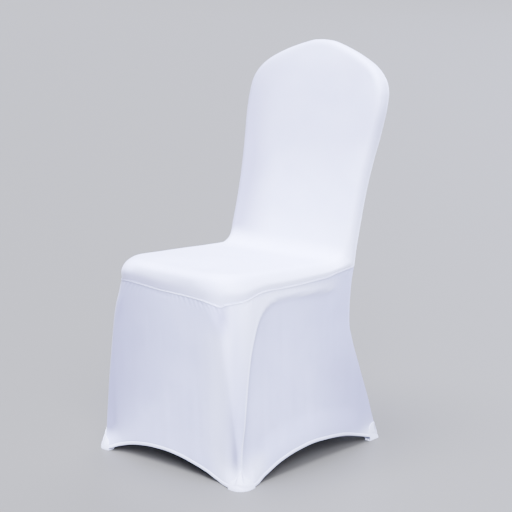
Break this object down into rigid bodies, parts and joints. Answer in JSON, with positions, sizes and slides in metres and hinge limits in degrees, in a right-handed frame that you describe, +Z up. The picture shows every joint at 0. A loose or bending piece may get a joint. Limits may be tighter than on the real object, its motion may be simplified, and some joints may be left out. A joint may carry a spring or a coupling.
{
  "type": "fitted stretch chair cover",
  "caption": "Fitted white stretch-knit cover for a stacking banquet chair with a crown-shaped back, taut to the floor, with arched hems and doubled foot pockets.",
  "frame": {"origin": "on the floor under the middle of the cover's box", "axes": "+Z up, the front of the seat faces -Y, +X to the right as seen from the front"},
  "size_m": [0.4746, 0.543, 0.9417],
  "materials": {
    "white_knit_front": "smooth stretch knit with a soft satin sheen",
    "white_knit_back": "smooth stretch knit with a soft satin sheen",
    "white_knit_skirt": "smooth stretch knit with a soft satin sheen",
    "white_knit_doubled": "smooth stretch knit with a soft satin sheen"
  },
  "bodies": {
    "root": {"front_panel": "white_knit_front", "back_panel": "white_knit_back", "skirt": "white_knit_skirt", "foot_pocket_front_right": "white_knit_doubled", "foot_pocket_front_left": "white_knit_doubled", "foot_pocket_rear_right": "white_knit_doubled", "foot_pocket_rear_left": "white_knit_doubled"}
  },
  "joints": []
}
